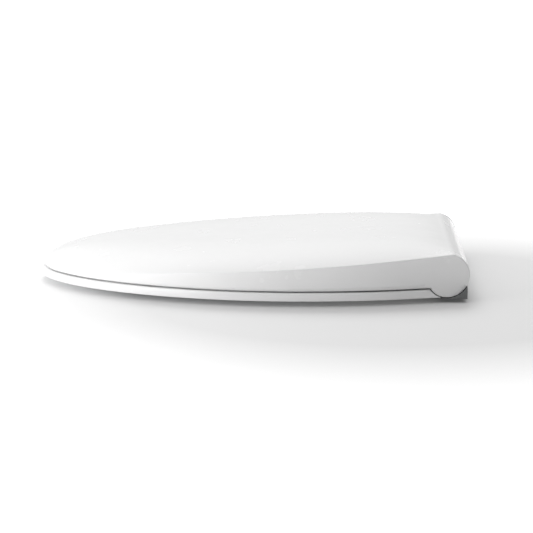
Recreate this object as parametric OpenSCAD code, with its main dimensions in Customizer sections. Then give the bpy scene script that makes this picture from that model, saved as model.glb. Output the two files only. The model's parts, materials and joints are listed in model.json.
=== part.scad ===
// Electric bidet seat: hinged lid over a heated seat ring, on a slim base that holds the wash unit.
// Millimetres. +Z is up, the front of the seat points along -Y, +X is the sitting user's left.
// The origin lies midway between the two mounting studs, on the plane of the toilet bowl's rim.

/* [Plan outline] */
// Half of the widest width, shared by the lid and the seat
wide_half = 187.5; // [180:0.5:192]
// How far in front of the studs the outline is widest
wide_depth = 165; // [150:1:180]
// How far in front of the studs the lid's tip lies
tip_depth = 475; // [455:1:495]
// How far the seat's tip stands out in front of the lid's tip
seat_lead = 2.5; // [0:0.5:4]
// Half of the hinge barrel's length
barrel_half = 157; // [155:0.5:159]

/* [Hinge] */
// Distance of the hinge axis behind the studs
hinge_y = 23; // [22:0.5:24]
// Height of the hinge axis above the bowl's rim
hinge_z = 28; // [27.8:0.1:28.4]
// Outer radius of the hinge barrel
barrel_r = 26; // [25.6:0.1:26.2]
// Radius of the left damper shaft, which carries the lid and the seat
shaft_r = 6; // [5:0.5:6.5]
// Radius of the hollow hinge tube on the right, which water and power run through
tube_r = 10; // [9.5:0.1:10]

/* [Lid] */
// Height of the lid's lower edge
lid_z = 14.5; // [14:0.5:15.5]
// Wall thickness of the lid
lid_wall = 2.6; // [2:0.1:3]
// Height of the lid's crown
crown_z = 60.9; // [59:0.1:62]

/* [Seat ring] */
// Height of the seat's underside
seat_z = 2.5; // [2.2:0.1:3]
// Height of the seat's outer top edge
seat_edge_z = 12.5; // [12:0.1:12.8]
// Height of the seat's comfort crown above its edges
seat_crown = 14; // [8:0.5:16]
// Half length of the seat's opening
opening_half_length = 118; // [110:1:124]
// Half width of the seat's opening
opening_half_width = 98; // [90:1:105]
// Distance of the opening's centre in front of the studs
opening_depth = 266; // [262:1:272]

/* [Base] */
// Half width of the base housing
base_half = 134; // [132:0.5:134.5]
// Distance of the housing's front face in front of the studs
base_depth = 96; // [94:0.5:97]
// Wall thickness of the casings
base_wall = 2.4; // [2:0.1:2.6]

/* [Wash nozzles] */
// Downward slope of the nozzles, in degrees
nozzle_slope = 29; // [27:0.5:30]
// Outer radius of a nozzle tube
nozzle_r = 6.5; // [6.3:0.1:6.5]
// Length of a nozzle tube
nozzle_length = 105; // [100:1:106]
// Spacing of the two nozzles, centre to centre
nozzle_spacing = 17; // [16.5:0.5:18]

/* [Mounting] */
// Distance between the two mounting studs
stud_spacing = 155; // [140:1:165]
// Outer radius of the rubber expansion bushes
bush_r = 6.5; // [6:0.1:7]

/* [Hidden] */
$fn = 64;

white = [0.93, 0.94, 0.94];
shade = [0.86, 0.87, 0.88];
dark = [0.29, 0.30, 0.31];
steel = [0.70, 0.71, 0.72];
brass = [0.78, 0.64, 0.36];
copper = [0.80, 0.50, 0.32];
rubber = [0.16, 0.16, 0.17];
green = [0.10, 0.36, 0.22];
natural = [0.80, 0.79, 0.75];

wide_y = -wide_depth;
tip_y = -tip_depth;
base_front = -base_depth;
eps = 0.01;

// ---------------------------------------------------------------- shared outline and heights

function clamp(v) = min(1, max(0, v));
function front_width(y, tip, half) =
  half * pow(max(0, 1 - pow(clamp((wide_y - y) / (wide_y - tip)), 1.83)), 1 / 1.83);
function rear_width(y, half) =
  half - (half - barrel_half) * pow(clamp((y - wide_y) / (13 - wide_y)), 2.3);
function half_width(y, tip = tip_y, half = wide_half) =
  y < wide_y ? front_width(y, tip, half) : rear_width(y, half);

// The crease where the lid's side wall meets its top: rises to the rear, fades out at the nose
function crease_line(y) = hinge_z + barrel_r - 0.7 - 0.0655 * (hinge_y - y);
function crease_fade(y) = 1 - pow(clamp((-280 - y) / (-280 - tip_y)), 1.6);
function crease_z(y) = lid_z + (crease_line(y) - lid_z) * crease_fade(y);

// The crown along the lid's centre line: falls to the nose, and to the barrel at the rear
crown_y = -60;
tangent_angle = 15.5;
tangent_y = hinge_y + barrel_r * sin(tangent_angle);
tangent_z = hinge_z + barrel_r * cos(tangent_angle);
function ahead(y) = -95 - y;
function crown_line(y) = crown_z - 0.0464 * (ahead(y) + sqrt(ahead(y) * ahead(y) + 1600)) / 2;
function nose_fade(y) = pow(max(0, 1 - pow(clamp((-330 - y) / (-330 - tip_y)), 3)), 0.385);
function front_crest(y) = lid_z + (crown_line(y) - lid_z) * nose_fade(y);
function rear_crest(y) = front_crest(crown_y)
  - (front_crest(crown_y) - tangent_z) * pow(clamp((y - crown_y) / (tangent_y - crown_y)), 3.5);
function crest_z(y) = y < crown_y ? front_crest(y) : rear_crest(y);

// Height of the lid's lower edge: level, then riding on top of the end disc
function lid_low(y) = y <= 0 ? lid_z
  : hinge_z + sqrt(max(0, barrel_r * barrel_r - (y - hinge_y) * (y - hinge_y))) - 0.8;

// How square the lid's cross-section is: a flat dome behind, a bull nose in front
function nose_part(y) = clamp((-200 - y) / (-200 - tip_y));
function dome_power(y) = 6 - 3.2 * nose_part(y);
function dome_round(y) = 1 - 0.45 * nose_part(y);

function lid_height(x, y) = crease_z(y) + (crest_z(y) - crease_z(y))
  * pow(1 - pow(min(1, abs(x) / half_width(y)), dome_power(y)), dome_round(y));

// ---------------------------------------------------------------- lid shell, swept as cross-sections

lid_rows_front = 14;
lid_rows_rear = 10;
lid_rows_barrel = 9;
lid_columns = 11;
skin_half = barrel_half - 7;
skin_end_angle = 95;

// Sections crowd together towards the nose, where the outline curves most
front_ys = [for (i = [1 : lid_rows_front])
  wide_y - (wide_y - tip_y) * cos(90 * (i - 0.15) / lid_rows_front)];
rear_ys = [for (i = [1 : lid_rows_rear]) wide_y + (0 - wide_y) * i / lid_rows_rear];
shoulder_ys = [1.2, 5, 10, 16, 22, tangent_y];
section_ys = concat(front_ys, rear_ys, shoulder_ys);

// One side of a cross-section, from the lower edge over the crease to the centre line
function side_points(y, inset) =
  let (w = half_width(y) - inset,
       low = lid_low(y),
       top = max(low + 0.6, crease_z(y) - inset),
       crest = max(top + 0.2, crest_z(y) - inset),
       r = min(3, 0.7 * (top - low), 0.4 * w),
       wd = w - 0.5 * r)
  concat(
    [[w, low], [w, top - r], [w - 0.12 * r, top - 0.45 * r], [w - 0.35 * r, top - 0.12 * r]],
    [for (j = [0 : lid_columns - 5])
      let (s = sin(90 * (1 - j / (lid_columns - 5))) * 0.985)
      [wd * s, top + (crest - top) * pow(1 - pow(s, dome_power(y)), dome_round(y))]]);

function full_section(y, inset) =
  let (side = side_points(y, inset), n = len(side) - 1)
  concat([for (j = [0 : n]) [-side[j][0], y, side[j][1]]],
         [for (j = [n - 1 : -1 : 0]) [side[j][0], y, side[j][1]]]);

// Rows round the barrel keep the same number of points, spread along a straight line
function barrel_section(angle, inset) =
  let (n = lid_columns - 1, r = barrel_r - inset)
  [for (j = [-n : n])
    let (a = n - abs(j),
         x = a < 4 ? skin_half - 0.5 * a : (skin_half - 2) * (n - a) / (n - 4) * (n - 4) / (n - 3))
    [sign(j) * x, hinge_y + r * sin(angle), hinge_z + r * cos(angle)]];

function lid_surface(inset) = concat(
  [for (y = section_ys) full_section(y, inset)],
  [for (i = [1 : lid_rows_barrel])
    barrel_section(tangent_angle + (skin_end_angle - tangent_angle) * i / lid_rows_barrel, inset)]);

function flatten(lists) = [for (l = lists) for (p = l) p];

// Faces of a grid of rows and columns, each cell split into two triangles
function grid_faces(rows, cols, start, flip) =
  [for (i = [0 : rows - 2]) for (j = [0 : cols - 2])
    let (a = start + i * cols + j, b = a + 1, c = b + cols, d = a + cols)
    each flip ? [[a, b, c], [a, c, d]] : [[a, d, c], [a, c, b]]];

module lid_shell() {
  outer = lid_surface(0);
  inner = lid_surface(lid_wall);
  rows = len(outer);
  cols = len(outer[0]);
  m = cols - 1;
  n = rows * cols;
  tip_out = 2 * n;
  tip_in = 2 * n + 1;
  color(white) polyhedron(
    points = concat(flatten(outer), flatten(inner),
      [[0, tip_y, lid_z], [0, tip_y + 3, lid_z]]),
    faces = concat(
      grid_faces(rows, cols, 0, false),
      grid_faces(rows, cols, n, true),
      [for (j = [0 : m - 1]) [tip_out, j, j + 1]],
      [for (j = [0 : m - 1]) [tip_in, n + j + 1, n + j]],
      [for (i = [0 : rows - 2]) let (o = i * cols, q = o + cols)
        each [[o, n + o, n + q], [o, n + q, q]]],
      [for (i = [0 : rows - 2]) let (o = i * cols + m, q = o + cols)
        each [[o, q, n + q], [o, n + q, n + o]]],
      [for (j = [0 : m - 1]) let (o = (rows - 1) * cols + j)
        each [[o + 1, o, n + o], [o + 1, n + o, n + o + 1]]],
      [[n, 0, tip_out], [n, tip_out, tip_in]],
      [[tip_out, m, n + m], [tip_out, n + m, tip_in]]));
}

// ---------------------------------------------------------------- small helpers

module extrude_x(x0, x1) {
  translate([x0, 0, 0]) rotate([90, 0, 90]) linear_extrude(x1 - x0) children();
}
module rod_x(r, x0, x1, y = hinge_y, z = hinge_z) {
  translate([x0, y, z]) rotate([0, 90, 0]) cylinder(r = r, h = x1 - x0);
}
module block(low, high) {
  translate(low) cube(high - low);
}
module both_sides() {
  children();
  mirror([1, 0, 0]) children();
}
module hinge_circle(r) {
  translate([hinge_y, hinge_z]) circle(r);
}
module rounded_rect(low, high, r) {
  translate([low[0] + r, low[1]]) square([high[0] - low[0] - 2 * r, high[1] - low[1]]);
  translate([low[0], low[1] + r]) square([high[0] - low[0], high[1] - low[1] - 2 * r]);
  for (x = [low[0] + r, high[0] - r], y = [low[1] + r, high[1] - r])
    translate([x, y]) circle(r, $fn = 32);
}
module rounded_block(low, high, r) {
  translate([0, 0, low[2]]) linear_extrude(high[2] - low[2])
    rounded_rect([low[0], low[1]], [high[0], high[1]], r);
}
module screw(length, head_r = 3.2, thread_r = 1.6) {
  difference() {
    union() {
      cylinder(r = head_r, h = 2.2, $fn = 32);
      translate([0, 0, -length]) cylinder(r = thread_r, h = length + eps, $fn = 24);
    }
    for (a = [0, 90]) rotate([0, 0, a]) translate([-1.8, -0.4, 1]) cube([3.6, 0.8, 2]);
  }
}

// ---------------------------------------------------------------- lid fittings

// Round end of the barrel, with the socket that the lid turns on
sleeve_r = tube_r + 2.5;
running = 0.05;
module end_disc(bore, boss_r, depth) {
  difference() {
    union() {
      rod_x(barrel_r, skin_half + 0.05, barrel_half);
      rod_x(boss_r, skin_half - 1.5, skin_half + 0.1);
    }
    rod_x(bore, skin_half - 3, skin_half + depth);
  }
}
module lid_end_disc_left() color(white) end_disc(shaft_r + running, 10, 5);
module lid_end_disc_right() color(white) mirror([1, 0, 0]) difference() {
  end_disc(sleeve_r, 16, 4);
  rod_x(tube_r + running, skin_half, barrel_half + 1);
}

// Soft pads between the lid and the seat, on posts under the lid
bumper_spots = [[158, -120, 22.6], [80, -388, 27]];
module lid_bumpers() color(shade) both_sides()
  for (p = bumper_spots) translate([p[0], p[1], p[2]]) {
    cylinder(r1 = 4, r2 = 5, h = 2);
    translate([0, 0, 2 - eps]) cylinder(r = 5, h = lid_height(p[0] + 5, p[1]) - lid_wall - p[2] - 1.6);
  }

// Sleeve that turns with the lid, round the hinge tube and inside its damper
module lid_damper_sleeve() color(steel) mirror([1, 0, 0]) difference() {
  rod_x(sleeve_r, 104, skin_half + 3.9);
  rod_x(tube_r + running, 103, skin_half + 5);
}
// The seat's damper shaft has a flat, so that it turns with the seat
module seat_damper_shaft() color(steel) difference() {
  rod_x(shaft_r, 108, skin_half + 4.8);
  block([104, hinge_y - 10, hinge_z + shaft_r - 1.5], [120, hinge_y + 10, hinge_z + 10]);
}

// ---------------------------------------------------------------- seat ring

seat_tip_y = tip_y - seat_lead;
ring_rear_y = -101;
ring_side_count = 20;
ring_rear_count = 7;

// Outer plan points from the rear right corner round the nose to the rear left, then back across
function ring_side(i) =
  let (t = i / ring_side_count,
       y = t < 0.2 ? ring_rear_y + (wide_y - ring_rear_y) * t / 0.2
         : wide_y - (wide_y - seat_tip_y) * sin(90 * (t - 0.2) / 0.8))
  [half_width(y, seat_tip_y), y];
ring_outer = concat(
  [for (i = [0 : ring_side_count]) let (p = ring_side(i)) [-p[0], p[1]]],
  [for (i = [ring_side_count - 1 : -1 : 0]) ring_side(i)],
  [for (i = [1 : ring_rear_count])
    let (w = half_width(ring_rear_y, seat_tip_y)) [w - 2 * w * i / (ring_rear_count + 1), ring_rear_y]]);

// The opening is a soft ellipse about its own centre
function opening_radius(a) =
  pow(pow(abs(cos(a)) / opening_half_width, 2.2) + pow(abs(sin(a)) / opening_half_length, 2.2), -1 / 2.2);
function inner_point(p) =
  let (a = atan2(p[1] + opening_depth, p[0]), r = opening_radius(a))
  [r * cos(a), -opening_depth + r * sin(a)];
ring_inner = [for (p = ring_outer) inner_point(p)];

inner_edge_z = 11;
function ring_top(f) = seat_edge_z + (inner_edge_z - seat_edge_z) * f + seat_crown * pow(sin(180 * f), 1.2);
crown_steps = [0.08, 0.2, 0.35, 0.5, 0.65, 0.8, 0.92];

// One cross-section of a ring-shaped sheet between two depths below the seat's surface
function ring_section(k, d0, d1, low) =
  let (o = ring_outer[k], q = ring_inner[k], l = norm(o - q),
       at = function (f, z) [o[0] + (q[0] - o[0]) * f, o[1] + (q[1] - o[1]) * f, z],
       f0 = d0 / l, f1 = d1 / l)
  concat(
    [at(f0, low), at(f0, seat_edge_z - d0 - 1.5), at(f0 + 1.5 / l, seat_edge_z - d0 + 0.6)],
    [for (f = crown_steps) at(f, ring_top(f) - d0)],
    [at(1 - f0 - 1.5 / l, inner_edge_z - d0 + 0.6), at(1 - f0, inner_edge_z - d0 - 1.5), at(1 - f0, low)],
    [at(1 - f1, low), at(1 - f1, inner_edge_z - d1 - 1)],
    [for (i = [len(crown_steps) - 2 : -1 : 1]) at(crown_steps[i], ring_top(crown_steps[i]) - d1)],
    [at(f1, seat_edge_z - d1 - 1), at(f1, low)]);

module ring_loft(sections) {
  count = len(sections);
  size = len(sections[0]);
  polyhedron(
    points = flatten(sections),
    faces = [for (k = [0 : count - 1]) for (m = [0 : size - 1])
      let (k1 = (k + 1) % count, m1 = (m + 1) % size,
           a = k * size + m, b = k * size + m1, c = k1 * size + m1, d = k1 * size + m)
      each [[a, c, b], [a, d, c]]]);
}

module seat_top_shell() color(white)
  ring_loft([for (k = [0 : len(ring_outer) - 1]) ring_section(k, 0, 3, seat_z)]);

// The heating foil lies close under the crown, between its second and its last but one step
heated_steps = [for (i = [1 : len(crown_steps) - 2]) crown_steps[i]];
function heater_section(k) =
  let (o = ring_outer[k], q = ring_inner[k])
  concat(
    [for (f = heated_steps) [o[0] + (q[0] - o[0]) * f, o[1] + (q[1] - o[1]) * f, ring_top(f) - 3.6]],
    [for (i = [len(heated_steps) - 1 : -1 : 0])
      let (f = heated_steps[i]) [o[0] + (q[0] - o[0]) * f, o[1] + (q[1] - o[1]) * f, ring_top(f) - 4.4]]);
module seat_heater() color(copper)
  ring_loft([for (k = [0 : len(ring_outer) - 1]) heater_section(k)]);

function toward(p, q, d) = p + (q - p) * d / norm(q - p);
module seat_bottom_plate() color(shade) {
  translate([0, 0, seat_z + 0.2]) linear_extrude(2.2) difference() {
    polygon([for (k = [0 : len(ring_outer) - 1]) toward(ring_outer[k], ring_inner[k], 3.3)]);
    polygon([for (k = [0 : len(ring_outer) - 1]) toward(ring_inner[k], ring_outer[k], 3.3)]);
  }
}

seat_bumper_spots = [[152, -140], [84, -402]];
module seat_bumpers() color(shade) both_sides()
  for (p = seat_bumper_spots) translate([p[0], p[1], 0]) {
    cylinder(r1 = 8, r2 = 9, h = 1);
    translate([0, 0, 1 - eps]) cylinder(r = 9, h = seat_z + 0.2 - 1);
  }

// Arm that carries the seat ring back to its knuckle on the hinge
arm_inner_x = 142;
knuckle_x0 = 137;
knuckle_x1 = 147.5;
knuckle_r = 20;
arm_rear_y = 10;
module seat_arm(bore) {
  arm_ys = [for (i = [0 : 10]) ring_rear_y + 0.1 + (arm_rear_y - ring_rear_y) * i / 10];
  difference() {
    union() {
      difference() {
        translate([0, 0, seat_z]) linear_extrude(seat_edge_z - seat_z)
          polygon(concat([[arm_inner_x, arm_ys[0]]],
            [for (y = arm_ys) [half_width(y), y]], [[arm_inner_x, arm_ys[10]]]));
        rod_x(barrel_r + 2.5, knuckle_x1, 200);
        rod_x(knuckle_r - 1, 130, knuckle_x1 + 1);
      }
      rod_x(knuckle_r, knuckle_x0, knuckle_x1);
      extrude_x(knuckle_x0, knuckle_x1) polygon([[-34, seat_z], [12, seat_z + 1], [20, 12], [0, 26], [-34, seat_edge_z]]);
    }
    rod_x(bore, knuckle_x0 - 1, knuckle_x1 + 1);
  }
}
module seat_arm_left() color(white) seat_arm(shaft_r);
module seat_arm_right() color(white) mirror([1, 0, 0]) seat_arm(sleeve_r + running);

// ---------------------------------------------------------------- base casings

foot_z = 1;
floor_z = 9.5;
split_z = 24;
drum_r = 22.8;
tray_rear = 8;
cover_top = [[base_front, split_z], [base_front, 36], [base_front + 5, 41], [base_front + 12, 43],
  [2, 46.5], [14, 48.8], [hinge_y, hinge_z + drum_r - 0.1], [hinge_y, split_z]];

// Openings in the floor for the nozzles, the warm air duct and the deodoriser filter
module floor_openings() {
  block([-24, base_front - 1, -5], [24, -18, 20]);
  block([-44, -88, -5], [44, -54, 20]);
  block([54, base_front - 1, -5], [96, -60, 20]);
  block([-92, base_front - 1, -5], [-54, -52, 20]);
}

module base_lower_casing() color(white) difference() {
  rounded_block([-base_half, base_front, foot_z], [base_half, tray_rear, split_z], 8);
  rounded_block([base_wall - base_half, base_front + base_wall, floor_z + base_wall],
    [base_half - base_wall, tray_rear + 20, split_z + 1], 6);
  rounded_block([base_wall - base_half, base_front + base_wall, foot_z - 1],
    [base_half - base_wall, tray_rear + 20, floor_z], 6);
  rod_x(drum_r + 0.2, -base_half - 1, base_half + 1);
  floor_openings();
  rod_x(3.05, -base_half - 1, -base_half + 6, release_yz[0], release_yz[1]);
  at_casing_screws() cylinder(r = 1.7, h = 20, $fn = 24);
}
release_yz = [-60, 18];
casing_screw_spots = [[-126, -88], [126, -88], [-126, -14], [126, -14]];
module at_casing_screws() {
  for (p = casing_screw_spots) translate([p[0], p[1], 0]) children();
}

module drum_profile(inset) {
  hinge_circle(drum_r - inset);
  polygon([for (p = cover_top) [p[0] + (p[0] < 0 ? inset : 0), p[1] - (p[1] > split_z ? inset : 0)]]);
}
module base_upper_cover() color(white) difference() {
  union() {
    difference() {
      extrude_x(-base_half, base_half) drum_profile(0);
      extrude_x(base_wall - base_half, base_half - base_wall) {
        drum_profile(base_wall);
        translate([base_front + base_wall, split_z - 1]) square([90, 3]);
      }
    }
    intersection() {
      at_casing_screws() translate([0, 0, floor_z + base_wall]) cylinder(r = 3.5, h = 40);
      extrude_x(-base_half, base_half) drum_profile(0.5);
    }
  }
  at_casing_screws() translate([0, 0, floor_z]) cylinder(r = 1.6, h = 14, $fn = 24);
  rod_x(11.3, base_half - 5, base_half + 1);
  rod_x(sleeve_r + 2.3, -base_half - 1, 5 - base_half);
  block([-14, base_front - 1, 29], [14, base_front + base_wall + 1, 37]);
  translate([button_spot[0], button_spot[1], 30]) cylinder(r = 7.3, h = 20);
}

// The trough under the barrel, with a low upstand behind it
cradle_rear = 46;
cradle_top = 15;
module cradle_profile(front) {
  difference() {
    translate([front, 0]) square([cradle_rear - front, cradle_top]);
    hinge_circle(barrel_r + 0.6);
  }
}
module hinge_cradle() color(dark) {
  extrude_x(-base_half, base_half) cradle_profile(tray_rear + 0.05);
  both_sides() extrude_x(base_half - eps, barrel_half) cradle_profile(14);
}

// Housing outboard of the barrel's right end: water and power come in here
inlet_x0 = -176;
inlet_x1 = -164.5;
inlet_yz = [18.5, 29];
housing_yz = [26, 26];
housing_r = 24;
gland_yz = [37, 14];
pipe_r = 2.6;
module inlet_housing() color(dark) difference() {
  union() {
    rod_x(housing_r, inlet_x0, inlet_x1, housing_yz[0], housing_yz[1]);
    block([inlet_x0, 6, 0], [inlet_x1, cradle_rear, 22]);
    extrude_x(inlet_x1 - eps, -barrel_half - 0.05) cradle_profile(30);
  }
  difference() {
    rod_x(housing_r - 2.5, inlet_x0 + 2.5, inlet_x1 - 2, housing_yz[0], housing_yz[1]);
    block([inlet_x0, 0, 0], [inlet_x1, cradle_rear, 8]);
  }
  rod_x(8.8, inlet_x0 - 1, inlet_x0 + 4, inlet_yz[0], inlet_yz[1]);
  rod_x(5, inlet_x0 - 1, inlet_x0 + 4, gland_yz[0], gland_yz[1]);
  rod_x(tube_r, inlet_x1 - 3, inlet_x1 + 1);
}

module casing_screws() color(steel) at_casing_screws()
  translate([0, 0, floor_z - eps]) mirror([0, 0, 1]) screw(13, 3.2, 1.6);

// Hollow fixed tube that the lid and the seat turn round on the right, open for the pipe and the cable
module hinge_tube() color(steel) difference() {
  rod_x(tube_r, inlet_x1 - 2, -100);
  rod_x(tube_r - 2, inlet_x1 - 3, -99);
}

// Rotary dampers that let the lid and the seat down slowly: a ring round the tube, a barrel on the left
module lid_damper() color(dark) mirror([1, 0, 0]) difference() {
  union() {
    rod_x(sleeve_r + 2.2, 100, 133);
    rod_x(20, 101, 127);
  }
  rod_x(sleeve_r + running, 103, 134);
  rod_x(tube_r + running, 99, 104);
}
module damper_body() {
  difference() {
    union() {
      rod_x(11, 96, 133);
      rod_x(14, 100, 128);
      block([100, hinge_y - 4, hinge_z - 18.5], [128, hinge_y + 4, hinge_z]);
    }
    rod_x(shaft_r + running, 107, 134);
  }
}
module seat_damper() color(dark) damper_body();

// ---------------------------------------------------------------- water path

// Half-inch pipe thread, stood in for by its outer diameter, with a round flange and a spigot for the pipe
module water_inlet() color(brass) difference() {
  union() {
    rod_x(10.48, inlet_x0 - 14, inlet_x0 - 1.95, inlet_yz[0], inlet_yz[1]);
    rod_x(12.5, inlet_x0 - 2, inlet_x0, inlet_yz[0], inlet_yz[1]);
    rod_x(8.7, inlet_x0 - 0.05, inlet_x0 + 3.4, inlet_yz[0], inlet_yz[1]);
    rod_x(3.6, inlet_x0 + 3.3, inlet_x0 + 8.5, inlet_yz[0], inlet_yz[1]);
  }
  rod_x(7, inlet_x0 - 15, inlet_x0 + 2, inlet_yz[0], inlet_yz[1]);
  rod_x(pipe_r + 0.05, inlet_x0, inlet_x0 + 9, inlet_yz[0], inlet_yz[1]);
}
module inlet_strainer() color(steel) difference() {
  union() {
    rod_x(6.9, inlet_x0 - 12, inlet_x0 - 10, inlet_yz[0], inlet_yz[1]);
    rod_x(5.4, inlet_x0 - 10.1, inlet_x0 + 1.2, inlet_yz[0], inlet_yz[1]);
  }
  rod_x(4.6, inlet_x0 - 13, inlet_x0 + 0.4, inlet_yz[0], inlet_yz[1]);
}
module cord_gland() color(rubber) difference() {
  union() {
    rod_x(6.5, inlet_x0 - 5, inlet_x0, gland_yz[0], gland_yz[1]);
    rod_x(4.9, inlet_x0 - 0.05, inlet_x0 + 4, gland_yz[0], gland_yz[1]);
  }
  rod_x(3.5, inlet_x0 - 6, inlet_x0 + 5, gland_yz[0], gland_yz[1]);
}

// Bar through a list of points, mitred at each bend. Its edge lines are mirrored from stretch to stretch
bar_sides = 12;
function unit(v) = v / norm(v);
function heading(p, i) = unit(p[i + 1] - p[i]);
function mitre(p, i) = i == 0 ? heading(p, 0) : i == len(p) - 1 ? heading(p, i - 1)
  : unit(heading(p, i - 1) + heading(p, i));
function mirrored(c, n) = c - 2 * (c * n) * n;
function carried(c, p, i, goal) = i == goal ? c : carried(mirrored(c, mitre(p, i + 1)), p, i + 1, goal);
function longer(p, more) = concat(
  [p[0] - more * heading(p, 0)],
  [for (i = [1 : len(p) - 2]) p[i]],
  [p[len(p) - 1] + more * heading(p, len(p) - 2)]);
module bar_through(p, r) {
  across = unit(cross(heading(p, 0), [0, 0, 1]));
  up = cross(heading(p, 0), across);
  last = len(p) - 1;
  rings = [for (k = [0 : last], i = [0 : bar_sides - 1])
    let (
      a = 360 * i / bar_sides,
      stretch = max(0, k - 1),
      c = carried(r * (cos(a) * across + sin(a) * up), p, 0, stretch),
      h = heading(p, stretch),
      n = mitre(p, k)
    )
    p[k] + c - h * (c * n) / (h * n)];
  polyhedron(rings, concat(
    [[for (i = [0 : bar_sides - 1]) i]],
    [[for (i = [0 : bar_sides - 1]) (last + 1) * bar_sides - 1 - i]],
    [for (k = [0 : last - 1], i = [0 : bar_sides - 1])
      let (a = k * bar_sides + i, b = k * bar_sides + (i + 1) % bar_sides)
      [a, a + bar_sides, b + bar_sides, b]]));
}
supply_route = [[-170.9, 18.5, 29], [-92, 18.5, 29], [-92, -5.5, 28], [-116, -5.5, 28],
  [-116, -5.5, 18], [-116, -19.9, 18]];
module supply_pipe() color(natural) difference() {
  bar_through(supply_route, pipe_r);
  bar_through(longer(supply_route, 1), 1.7);
}
cable_route = [[-169.2, 36.5, 13.5], [-169.2, 26.4, 28], [-88, 26.4, 28], [-62, 32, 12.5],
  [92, 32, 12.5], [92, 8, 30], [92, -8, 30], [104, -24, 24], [104, -24, 15.7]];
module power_cable() color(rubber) bar_through(cable_route, 2.2);

module solenoid_valve() color(natural) {
  rounded_block([-128, -50, 12.5], [-104, -20, 24], 4);
  translate([-116, -35, 24 - eps]) cylinder(r = 9.5, h = 15);
  rod_x(4.5, -104.1, -98.1, -35, 18);
}

module water_heater() color(steel) {
  difference() {
    union() {
      rounded_block([-98, -50, 13], [-42, -12, 34], 5);
      for (x = [-92, -70, -48]) rounded_block([x - 2, -51.5, 12.6], [x + 2, -10.5, 35], 1);
    }
    block([-85, -40, 33], [-55, -22, 40]);
  }
  for (x = [-88, -52]) translate([x, -31, 34.9]) cylinder(r = 3, h = 6);
}

// Valve that sends the water to one nozzle or the other
diverter_y = 24;
diverter_z = 28;
module diverter_body() color(natural) difference() {
  union() {
    rod_x(13, -24, 8, diverter_y, diverter_z);
    for (x = [-16, -2]) translate([x, diverter_y - 10, diverter_z]) rotate([90, 0, 0]) cylinder(r = 3.5, h = 9);
  }
  rod_x(9.3, -20, 9, diverter_y, diverter_z);
}
module diverter_rotor() color(natural) difference() {
  union() {
    rod_x(9, -19.6, 7.6, diverter_y, diverter_z);
    rod_x(2.5, 7.5, 14, diverter_y, diverter_z);
  }
  for (x = [-16, -2]) translate([x, diverter_y, diverter_z]) rotate([90, 0, 0]) cylinder(r = 2.5, h = 12);
}
module diverter_motor() color(steel) difference() {
  union() {
    rod_x(14, 12, 30, diverter_y, diverter_z);
    rod_x(13, 8.1, 12.1, diverter_y, diverter_z);
  }
  rod_x(2.55, 8, 15, diverter_y, diverter_z);
  rod_x(9.3, 7, 10, diverter_y, diverter_z);
}

// ---------------------------------------------------------------- wash nozzles

// Local frame of the wash unit: +X across, +Y up along the nozzles from their tips, +Z square to them
nozzle_tip = [0, -92, -18];
module wash_frame() {
  translate(nozzle_tip) rotate([nozzle_slope, 0, 0]) children();
}
module rod_s(r, s0, s1, x = 0, n = 0) {
  translate([x, s1, n]) rotate([90, 0, 0]) cylinder(r = r, h = s1 - s0);
}

tooth_module = 1;
pinion_teeth = 12;
pinion_pitch_r = tooth_module * pinion_teeth / 2;
tooth_pitch = PI * tooth_module;
rack_pitch_n = 8.6;
pinion_s = 32;
nozzle_travel = 66;
rack_first = -2;
rack_last = 22;

module rack_tooth() {
  polygon([[-0.85, -1.1], [-0.42, 0.85], [0.42, 0.85], [0.85, -1.1]]);
}
module nozzle_body() {
  difference() {
    union() {
      rod_s(nozzle_r, 7, nozzle_length);
      block([-2, pinion_s + (rack_first - 0.5) * tooth_pitch, 5],
        [2, pinion_s + (rack_last + 0.5) * tooth_pitch, rack_pitch_n - 1]);
      for (i = [rack_first : rack_last])
        translate([-2, pinion_s + i * tooth_pitch, rack_pitch_n]) rotate([90, 0, 90])
          linear_extrude(4) rack_tooth();
    }
    rod_s(3, 6, nozzle_length - 8);
    rod_s(1.8, nozzle_length - 9, nozzle_length + 1);
  }
}
// Removable tip with its spray holes on top
module nozzle_end(holes) {
  difference() {
    union() {
      rod_s(nozzle_r, 1.5, 6.95);
      translate([0, 1.5, 0]) rotate([90, 0, 0]) cylinder(r1 = nozzle_r, r2 = nozzle_r - 1.5, h = 1.5);
      rod_s(2.9, 6.9, 14);
    }
    rod_s(1.6, 3, 15);
    for (i = [0 : holes - 1])
      translate([(i - (holes - 1) / 2) * 1.6, 4.6, 0]) cylinder(r = 0.5, h = 10, $fn = 16);
  }
}
side = nozzle_spacing / 2;
module rear_nozzle() color(natural) wash_frame() translate([side, 0, 0]) nozzle_body();
module front_nozzle() color(natural) wash_frame() translate([-side, 0, 0]) nozzle_body();
module rear_nozzle_tip() color(shade) wash_frame() translate([side, 0, 0]) nozzle_end(1);
module front_nozzle_tip() color(shade) wash_frame() translate([-side, 0, 0]) nozzle_end(3);

// Guide with a collar round both nozzles at the front, and a trough behind it
module nozzle_guide() color(shade) wash_frame() difference() {
  union() {
    block([-19, 3, -9], [19, 22, 10.5]);
    block([-19, 21, -9], [19, 96, -1]);
    block([-19, 88, -9], [19, 96, 8]);
  }
  for (x = [-side, side]) {
    rod_s(nozzle_r + 0.05, 2, 97, x);
    block([x - 2.4, 2, 4], [x + 2.4, 97, 12]);
  }
}

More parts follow.
